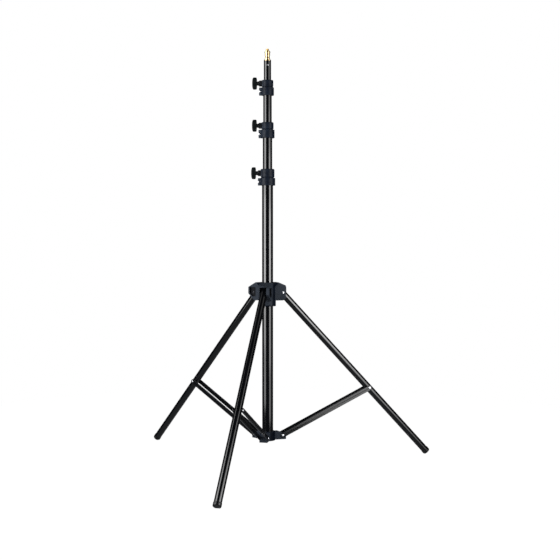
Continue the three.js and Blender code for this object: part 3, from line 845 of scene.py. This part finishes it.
def in_recess(at):
    """Whether a point of an arm, in that arm's own frame, lies on the sunk panel's walls or floor."""
    along = RECESS["start"] - 0.1 < at.x < RECESS["end"] + 0.1
    upward = PIVOT.z + RECESS["bottom"] - 0.1 < at.z < PIVOT.z + RECESS["top"] + 0.1
    return along and upward and SPIDER["pocket_half"] + 0.2 < at.y < THICK_CHEEK["outside"] - 0.4


def spider():
    low, high = node_box("spider")
    bottom, crown = low.z, high.z
    knob_place, _ = joint_place("spider_knob_turn")
    rim, pocket_top = PIVOT.z + SPIDER["rim"], PIVOT.z + SPIDER["pocket_top"]
    sleeve = lathe([
        (0, bottom, 0), (SPIDER["sleeve"], bottom, 1.8), (SPIDER["sleeve"], rim - 4, 3.0),
        (SPIDER["crown_radius"], rim + 3, 1.5), (SPIDER["crown_radius"], crown, 1.6), (0, crown, 0),
    ])
    arm_bottom, reach = PIVOT.z + SPIDER["arm_bottom"], THICK_CHEEK["reach"]
    pocket = [
        (SPIDER["pocket_start"], arm_bottom - 5), (reach + 5, arm_bottom - 5),
        (reach + 5, pocket_top), (SPIDER["pocket_start"], pocket_top),
    ]
    outside = THICK_CHEEK["outside"]
    arms, cuts = [], []
    for number in SECTORS:
        turn = azimuth_of(number)
        thin = prism(cheek_outline(THIN_CHEEK, arm_bottom, crown), -THIN_CHEEK["outside"], 2)
        thick = prism(cheek_outline(THICK_CHEEK, arm_bottom, crown), -1, outside)
        arms += [turned(thin, turn), turned(thick, turn)]
        hollow = prism(pocket, -SPIDER["pocket_half"], SPIDER["pocket_half"])
        panel = prism(spider_recess(), outside - RECESS["depth"], outside + 5)
        pin = rod(PIN + 0.2, (PIVOT_RADIUS, -30, PIVOT.z), (PIVOT_RADIUS, 30, PIVOT.z))
        cuts += [turned(hollow, turn), turned(panel, turn), turned(pin, turn)]
    boss_end = SPIDER["sleeve"] + KNOB["boss_end"]
    arms.append(turned(knob_boss(TUBE_RADIUS + 2, boss_end, knob_place.z), 90))
    cuts.append(rod(TUBE_RADIUS + 0.4, (0, 0, bottom - 5), (0, 0, crown + 5), ROUND))
    cuts.append(rod(STUD_RADIUS + 0.2, (0, 10, knob_place.z), (0, boss_end + 1, knob_place.z)))
    body = softened(combine(sleeve, joined=arms, cut=cuts), 1.0)
    # faces of the sunk panels take the darker plastic: painted shade
    for number in SECTORS:
        unturn = Matrix.Rotation(math.radians(-azimuth_of(number)), 3, "Z")
        for face in body.faces:
            if in_recess(unturn @ face.calc_center_median()):
                face.material_index = 1
    piece("spider_casting", body, COLUMN, "spider", "spider", HUB_PLASTIC, "hub_plastic",
          second=SHADE_PAINTED_PLASTIC)
    knob("spider", "spider_knob", "spider", "spider_knob_turn", SPIDER["sleeve"])


spider()


def lower_hub():
    low, high = node_box("lower_hub")
    sleeve = lathe([
        (0, low.z, 0), (HUB["sleeve"], low.z, 1.8), (HUB["sleeve"], high.z, 1.8), (0, high.z, 0),
    ])
    root, reach, corner = TUBE_RADIUS + 2, HUB["reach"], 2.2
    arm_bottom, arm_top, tip_top = (LOWER_PIVOT.z + HUB[key] for key in ("arm_bottom", "arm_top", "tip_top"))
    outline = [(root, arm_bottom)] + arc(reach - corner, arm_bottom + corner, corner, -90, 0, 6)
    outline += arc(reach - corner, tip_top - corner, corner, 0, 70, 6)
    outline += [(HUB["shoulder"], arm_top), (root, arm_top)]
    arms, cuts = [], []
    for number in SECTORS:
        turn = azimuth_of(number)
        arms.append(turned(prism(outline, -HUB["half_width"], HUB["half_width"]), turn))
        pin = rod(PIN + 0.2, (LOWER_RADIUS, -20, LOWER_PIVOT.z), (LOWER_RADIUS, 20, LOWER_PIVOT.z))
        cuts.append(turned(pin, turn))
    cuts.append(rod(TUBE_RADIUS + FIT, (0, 0, low.z - 5), (0, 0, high.z + 5), ROUND))
    body = combine(sleeve, joined=arms, cut=cuts)
    body = softened(body, 0.8)
    piece("lower_hub_casting", body, COLUMN, "column", "lower_hub", HUB_PLASTIC, "hub_plastic")


lower_hub()


# ---------------------------------------------------------------- legs and braces

LEG = {"outer": 11.5, "wall": 1.5, "below": 740.5, "above": 9.5}      # below and above the upper pivot
FOOT = {"radius": 12.5, "length": 11.0, "sole": 4.0, "bead": 2.1}
BRACE = {"inside": 12.8, "thickness": 2.3, "half": 7.6}
HEAD = {"radius": 4.0, "height": 1.7}
HUB_HEAD = {"radius": 3.6, "height": 1.6}


def rivet_head(size, seat):
    """Profile of a domed head whose flat side lies at seat."""
    radius, height = size["radius"], size["height"]
    return [
        (PIN, seat, 0), (radius, seat, 0.25), (radius - 0.1, seat + 0.4, 0.3),
        (radius * 0.72, seat + height * 0.85, 1.0), (0, seat + height, 0),
    ]


def through_rivet(size, low, high):
    """A rivet along local z: a domed head beyond high, a rolled hollow tail beyond low."""
    radius, height, seat = size["radius"], size["height"], low - FIT
    floor_z, rim_z = seat - height * 0.35, seat - height
    tail = [
        (0, floor_z, 0), (radius * 0.3, floor_z, 0.2), (radius * 0.42, rim_z, 0.3),
        (radius * 0.75, rim_z, 0.6), (radius, seat - 0.4, 0.4), (radius, seat, 0.2), (PIN, seat, 0),
    ]
    return lathe(tail + rivet_head(size, high + FIT), SMALL)


def short_rivet(size, shank_start, seat):
    return lathe([(0, shank_start, 0), (PIN, shank_start, 0.2)] + rivet_head(size, seat + FIT), SMALL)


def leg_frame(number):
    """Local frame of a leg: origin at its upper pivot, z up along the leg, y across it."""
    pivot, lateral = joint_place(f"leg_{number}_fold")
    rivet, _ = joint_place(f"brace_{number}_fold")
    up_leg = (pivot - rivet).normalized()
    return basis(pivot, lateral.cross(up_leg), up_leg), pivot, rivet, lateral


def leg(number):
    place, pivot, rivet, lateral = leg_frame(number)
    up_leg = (pivot - rivet).normalized()
    body = f"leg_{number}"
    paint = tube_paint(f"leg_{number}_paint", up_leg, 0.2)
    low, high = LEG["below"], LEG["above"]
    outer, inner = LEG["outer"], LEG["outer"] - LEG["wall"]
    skin = tube(outer, inner, -low, high)
    piece(f"leg_{number}_skin", skin, place, body, f"leg_{number}_tube", paint, "tube_paint")

    insert, top, bottom = inner - FIT, high + 2.3, high - 5.4
    plug = lathe([
        (0, top, 0), (outer, top, 1.2), (outer, high + FIT, 0.2), (insert, high + FIT, 0.2),
        (insert, bottom, 0.5), (0, bottom, 0),
    ])
    piece(f"leg_{number}_top_plug_fine", plug, place, body, f"leg_{number}_top_plug", HUB_PLASTIC,
          "hub_plastic")
    piece(f"leg_{number}_foot", foot_cap(low, place), Matrix.Identity(4), body, f"leg_{number}_foot_cap",
          RUBBER, "foot_rubber")

    length = (pivot - rivet).length
    turn = Matrix.Rotation(math.radians(90), 4, "X")
    outside = BRACE["inside"] + BRACE["thickness"]
    brace_rivet = moved(through_rivet(HEAD, -outside, outside), Matrix.Translation((0, 0, -length)) @ turn)
    piece(f"leg_{number}_brace_rivet_fine", brace_rivet, place, body, f"leg_{number}_brace_rivet", ZINC,
          "zinc_steel")
    seat = THICK_CHEEK["outside"] - RECESS["depth"]
    pivot_rivet = moved(through_rivet(HUB_HEAD, -seat, THIN_CHEEK["outside"]), turn)
    # the tail, sunk in the thick cheek's panel, takes the darker steel: painted shade
    for face in pivot_rivet.faces:
        face.material_index = int(face.calc_center_median().y > 0)
    piece(f"leg_{number}_pivot_rivet_fine", pivot_rivet, place, "spider", f"leg_{number}_pivot_rivet", ZINC,
          "zinc_steel", second=SHADE_PAINTED_STEEL)


def foot_cap(tube_end, place):
    """A beaded rubber cup over the tube's end, in world metres, cut flat at the floor."""
    radius, sole = FOOT["radius"], FOOT["sole"]
    end = -(tube_end + 0.3 + sole)
    mouth = end + FOOT["length"]
    bead = mouth - FOOT["bead"]
    wall, groove, inside = radius - 0.1, radius - 0.5, LEG["outer"] + 0.1
    cup = [
        (0, end, 0), (wall, end, 2.2), (wall, bead - 1.5, 0.2), (groove, bead - 1.1, 0.2),
        (groove, bead - 0.4, 0.2), (radius, bead, 0.4), (radius, mouth, 0.6), (inside, mouth, 0.2),
        (inside, end + sole, 0.3), (0, end + sole, 0),
    ]
    bm = moved(lathe(cup), place)
    cut = bmesh.ops.bisect_plane(bm, geom=bm.verts[:] + bm.edges[:] + bm.faces[:], plane_co=(0, 0, 0),
                                 plane_no=(0, 0, -1), clear_outer=True)
    rim = [edge for edge in cut["geom_cut"] if isinstance(edge, bmesh.types.BMEdge)]
    bmesh.ops.edgeloop_fill(bm, edges=rim)
    return bm


def brace(number):
    """A leg's pair of flat bars, one each side of it, each with its own short lower rivet."""
    _, _, rivet, lateral = leg_frame(number)
    left = box_centre(f"brace_{number}_left_rivet")
    right = box_centre(f"brace_{number}_right_rivet")
    lower = (left + right) / 2
    up_bar = (rivet - lower).normalized()
    place = basis(rivet, lateral.cross(up_bar), up_bar)
    length = (rivet - lower).length
    half, inside, thickness = BRACE["half"], BRACE["inside"], BRACE["thickness"]
    outline = arc(0, 0, half, 0, 180, 20) + arc(0, -length, half, 180, 360, 20)
    body = f"brace_{number}"
    for label, sign in (("left", 1), ("right", -1)):
        near, far = sorted((sign * inside, sign * (inside + thickness)))
        holes = [rod(PIN + 0.15, (0, -30, z), (0, 30, z)) for z in (0, -length)]
        bar = softened(combine(prism(outline, near, far), cut=holes), 0.45)
        piece(f"{body}_{label}_strip", bar, place, body, f"{body}_{label}_bar", BRACE_PAINT, "brace_paint")
        head = turned(short_rivet(HEAD, inside + FIT, inside + thickness), -90 * sign, "X")
        head = moved(head, Matrix.Translation((0, 0, -length)))
        piece(f"{body}_{label}_rivet_fine", head, place, body, f"{body}_{label}_rivet", ZINC, "zinc_steel")


for number in SECTORS:
    leg(number)
    brace(number)


# ---------------------------------------------------------------- spigot

# radii, from the flange up to the stud's root
SPIGOT = {"flange": 11.3, "grip": 8.0, "waist": 6.9, "shoulder": 8.9, "ring": 8.1, "root": 6.2}
SPIGOT_STUD = {"radius": 4.76, "pitch": 1.588, "depth": 0.75, "length": 6.8}
SCREW = {"start": 3.5, "radius": 2.0, "head": 3.4, "slot": 2.1, "slot_half": 0.4}


def spigot():
    """The turned brass spigot with its threaded stud, and the cross screw that holds it in its tube."""
    low, high = node_box("spigot")
    tube_low, tube_high = node_box("riser_3_tube")
    seat = tube_high.z + 0.2
    insert = (tube_high.x - tube_low.x) / 2 - WALLS["riser_3_tube"] - FIT
    flange, grip, waist = SPIGOT["flange"], SPIGOT["grip"], SPIGOT["waist"]
    shoulder, ring, root = SPIGOT["shoulder"], SPIGOT["ring"], SPIGOT["root"]
    body = lathe([
        (0, low.z, 0), (insert, low.z, 0.8), (insert, seat, 0.2),
        (flange, seat, 0.4), (flange, seat + 2.6, 0.7), (grip, seat + 3.4, 0.5),
        (grip, seat + 8.6, 0.5), (waist, seat + 9.8, 0.5), (waist, seat + 14.3, 0.5),
        (grip, seat + 15.5, 0.5), (grip, seat + 23.6, 0.3), (shoulder, seat + 24.6, 0.4),
        (shoulder, high.z - 9.0, 0.5), (ring, high.z - 8.1, 0.3), (root, high.z - 8.1, 0.3),
        (root, high.z - 5.8, 0.4), (0, high.z - 5.8, 0),
    ])
    thread = SPIGOT_STUD
    stud = threaded(thread["radius"], thread["pitch"], thread["depth"], thread["length"], 64, 12)
    stud = moved(stud, Matrix.Translation((0, 0, high.z - thread["length"])))
    whole = combine(body, joined=[stud])
    screw = box_centre("spigot_screw")
    place = basis(AXIS, outward(screw), UP)
    whole = combine(whole, cut=[rod(SCREW["radius"] + 0.2, (3, 0, screw.z), (20, 0, screw.z))])
    piece("spigot_turned", whole, place, "riser_3", "spigot", BRASS, "spigot_brass", 40)
    outer = (tube_high.x - tube_low.x) / 2
    start, shank, rim, under = SCREW["start"], SCREW["radius"], SCREW["head"], outer + FIT
    head = turned(lathe([
        (0, start, 0), (shank, start, 0.3), (shank, under, 0), (rim, under, 0.2),
        (rim - 0.1, outer + 1.2, 0.6), (0, outer + 1.9, 0),
    ], SMALL), 90, "Y")
    long, thin = SCREW["slot"], SCREW["slot_half"]
    slots = [
        prism([(outer + 0.7, a), (outer + 3, a), (outer + 3, -a), (outer + 0.7, -a)], -b, b)
        for a, b in ((long, thin), (thin, long))
    ]
    head = moved(combine(head, cut=slots), Matrix.Translation((0, 0, screw.z)))
    piece("spigot_screw_fine", head, place, "riser_3", "spigot_screw", SCREW_STEEL, "screw_steel", 30)


spigot()


# ---------------------------------------------------------------- stage, light and camera

FLOOR_RADIUS = 1.7


def floor():
    """A round white floor that the object's surfaces do not mirror."""
    mesh = bpy.data.meshes.new("floor")
    turns = [2 * math.pi * k / ROUND for k in range(ROUND)]
    rim = [(FLOOR_RADIUS * math.cos(turn), FLOOR_RADIUS * math.sin(turn), 0) for turn in turns]
    mesh.from_pydata(rim, [], [tuple(range(ROUND))])
    obj = bpy.data.objects.new("floor", mesh)
    bpy.context.scene.collection.objects.link(obj)
    m = Nodes("floor_paper")
    cloud = m.noise(3, 4, 0.6)
    m.set(Base_Color=m.mix(cloud, (0.02, 0.02, 0.02), (0.03, 0.03, 0.03)), Roughness=1.0)
    m.set(Emission_Color=(1.0, 1.0, 1.0), Emission_Strength=0.99, Specular_IOR_Level=0.0)
    mesh.materials.append(m.material)
    obj.visible_glossy = False
    obj.visible_diffuse = False
    obj.visible_shadow = False


CAMERA_SIDE = math.radians(14.3)         # camera's azimuth round the column, from -Y towards +X
CAMERA_DISTANCE = 3.297
CAMERA_HEIGHT = 0.756
CAMERA_DROP = 0.050                      # downward tilt, radians
CAMERA_PAN = 0.012                       # pan to the right, radians
CAMERA_LENS = 66.6

LIGHT_DISTANCE = 1.5
# the two softboxes, brightest at their middle height: low, high, radiance, radiance of the spill beside it
LEFT_BANDS = ((-0.08, 0.2, 4.6, 0.3), (0.2, 0.45, 7.0, 1.0), (0.45, 0.9, 11.3, 2.5), (0.9, 1.6, 8.0, 2.6),
              (1.6, 2.25, 6.0, 3.0))
RIGHT_BANDS = ((-0.15, 0.1, 3.4, 1.0), (0.1, 0.45, 6.0, 1.8), (0.45, 0.85, 11.5, 3.4), (0.85, 1.1, 8.0, 2.4),
               (1.1, 1.3, 4.8, 2.2), (1.3, 1.7, 2.6, 2.4))
# side and width of each softbox, then of the dim spill along its outer edge
LEFT_SIDE = (-58, 1.06, -83, 0.3)
RIGHT_SIDE = (50.5, 0.88, 72.5, 0.3)
# dim light from high on each side, placed for the front leg to mirror: side, low, high, width, radiance
HIGH_LEFT = (-98, 2.0, 3.3, 0.6, 0.7)
HIGH_RIGHT = (76, 1.8, 3.2, 0.6, 0.7)
HORIZON, NADIR = -0.14, -0.5             # sines of elevation where the ground's glow starts and is full
SIDE_GLOW, GROUND_GLOW = 0.015, 0.28     # what the object mirrors above the horizon and well below it
SKY_SHARE = 0.15                         # share of the white backdrop that lights the object softly


def seen_from(side, distance, height):
    """A point round the column: side in radians from the camera's own side."""
    angle = CAMERA_SIDE + side
    return AXIS * MM + Vector((distance * math.sin(angle), -distance * math.cos(angle), height))


def camera():
    data = bpy.data.cameras.new("camera")
    data.lens = CAMERA_LENS
    data.sensor_width = 36.0
    obj = bpy.data.objects.new("camera", data)
    bpy.context.scene.collection.objects.link(obj)
    obj.location = seen_from(0, CAMERA_DISTANCE, CAMERA_HEIGHT)
    obj.rotation_euler = (math.pi / 2 - CAMERA_DROP, 0, CAMERA_SIDE - CAMERA_PAN)
    bpy.context.scene.camera = obj


def softbox(name, side, low, high, width, radiance):
    """An upright rectangular lamp LIGHT_DISTANCE from the column that reaches from low to high."""
    tall = high - low
    data = bpy.data.lights.new(name, "AREA")
    data.shape = "RECTANGLE"
    data.size, data.size_y = width, tall
    data.energy = radiance * math.pi * width * tall
    obj = bpy.data.objects.new(name, data)
    bpy.context.scene.collection.objects.link(obj)
    obj.location = seen_from(math.radians(side), LIGHT_DISTANCE, (low + high) / 2)
    target = Vector((AXIS.x * MM, AXIS.y * MM, obj.location.z))
    obj.rotation_euler = (target - obj.location).to_track_quat("-Z", "Y").to_euler()
    obj.visible_camera = False


def surroundings():
    """Pale backdrop for the camera; what the object mirrors is black except well below the horizon."""
    world = bpy.data.worlds.new("studio")
    bpy.context.scene.world = world
    world.use_nodes = True
    tree = world.node_tree
    add, link = tree.nodes.new, tree.links.new
    mirrored = tree.nodes["Background"]
    mirrored.inputs["Color"].default_value = (0.92, 0.95, 1.0, 1)
    height = add("ShaderNodeSeparateXYZ")
    link(add("ShaderNodeTexCoord").outputs["Generated"], height.inputs["Vector"])
    ground = add("ShaderNodeMapRange")
    ground.inputs["From Min"].default_value = HORIZON
    ground.inputs["From Max"].default_value = NADIR
    ground.inputs["To Min"].default_value = SIDE_GLOW
    ground.inputs["To Max"].default_value = GROUND_GLOW
    link(height.outputs["Z"], ground.inputs["Value"])
    link(ground.outputs["Result"], mirrored.inputs["Strength"])
    backdrop = add("ShaderNodeBackground")
    backdrop.inputs["Color"].default_value = (1, 1, 1, 1)
    backdrop.inputs["Strength"].default_value = 1.0
    path = add("ShaderNodeLightPath")
    bright = add("ShaderNodeMath")
    bright.operation = "MULTIPLY_ADD"
    link(path.outputs["Is Diffuse Ray"], bright.inputs[0])
    bright.inputs[1].default_value = SKY_SHARE
    link(path.outputs["Is Camera Ray"], bright.inputs[2])
    choose = add("ShaderNodeMixShader")
    link(bright.outputs["Value"], choose.inputs["Fac"])
    link(mirrored.outputs["Background"], choose.inputs[1])
    link(backdrop.outputs["Background"], choose.inputs[2])
    link(choose.outputs["Shader"], tree.nodes["World Output"].inputs["Surface"])


bpy.context.scene.view_settings.view_transform = "Standard"
floor()
camera()
surroundings()
for label, bands, place in (("left", LEFT_BANDS, LEFT_SIDE), ("right", RIGHT_BANDS, RIGHT_SIDE)):
    side, width, spill_side, spill_width = place
    for number, (low, high, radiance, spill) in enumerate(bands):
        softbox(f"{label}_softbox_{number}", side, low, high, width, radiance)
        softbox(f"{label}_spill_{number}", spill_side, low, high, spill_width, spill)
softbox("left_high", *HIGH_LEFT)
softbox("right_high", *HIGH_RIGHT)
